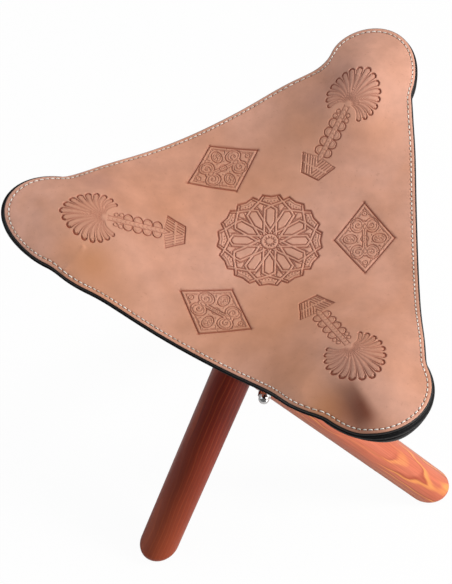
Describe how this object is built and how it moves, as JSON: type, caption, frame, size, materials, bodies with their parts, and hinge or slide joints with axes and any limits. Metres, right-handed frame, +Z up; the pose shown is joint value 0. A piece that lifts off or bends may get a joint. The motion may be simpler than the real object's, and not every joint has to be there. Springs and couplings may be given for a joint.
{
  "type": "folding leather stool",
  "caption": "Tripod folding stool: crossed round wooden legs on a three-armed bolt, and a tooled leather sling seat with corner pockets.",
  "frame": {"origin": "middle of the open stool's outline, on the floor", "axes": "+Z up; one arm of the bolt points along -Y, towards the side of the seat whose leg runs down to +X"},
  "size_m": [0.375, 0.349, 0.4518],
  "materials": {
    "tan_leather": "smooth vegetable-tanned, satin, tooled",
    "black_leather": "black, matte",
    "thread": "waxed white thread",
    "leg_wood": "red-brown stain under satin lacquer",
    "zinc_steel": "zinc plated",
    "chrome_hardware": "polished"
  },
  "bodies": {
    "hub": {"hub": "zinc_steel", "stud_1": "zinc_steel", "inner_washer_1": "chrome_hardware", "outer_washer_1": "chrome_hardware", "acorn_nut_1": "chrome_hardware", "stud_2": "zinc_steel", "inner_washer_2": "chrome_hardware", "outer_washer_2": "chrome_hardware", "acorn_nut_2": "chrome_hardware", "stud_3": "zinc_steel", "inner_washer_3": "chrome_hardware", "outer_washer_3": "chrome_hardware", "acorn_nut_3": "chrome_hardware", "seat_leather": "tan_leather", "seat_lining": "black_leather", "seat_stitching": "thread"},
    "leg_1": {"leg_1": "leg_wood", "pocket_1": "black_leather", "pocket_welt_1": "black_leather"},
    "leg_2": {"leg_2": "leg_wood", "pocket_2": "black_leather", "pocket_welt_2": "black_leather"},
    "leg_3": {"leg_3": "leg_wood", "pocket_3": "black_leather", "pocket_welt_3": "black_leather"}
  },
  "joints": [
    {"name": "leg_1_fold", "type": "hinge", "parent": "hub", "child": "leg_1", "pos_m": [0.00774, -0.03478, 0.22917], "axis": [0, 1, 0], "range_deg": [0, 22], "deforming": ["seat_leather", "seat_lining", "seat_stitching"]},
    {"name": "leg_2_fold", "type": "hinge", "parent": "hub", "child": "leg_2", "pos_m": [0.0294, 0.00273, 0.22917], "axis": [-0.866, -0.5, 0], "range_deg": [0, 22]},
    {"name": "leg_3_fold", "type": "hinge", "parent": "hub", "child": "leg_3", "pos_m": [-0.01392, 0.00273, 0.22917], "axis": [0.866, -0.5, 0], "range_deg": [0, 22]}
  ],
  "couplings": [
    {"joint": "leg_2_fold", "follows": "leg_1_fold", "ratio": 1},
    {"joint": "leg_3_fold", "follows": "leg_1_fold", "ratio": 1}
  ]
}
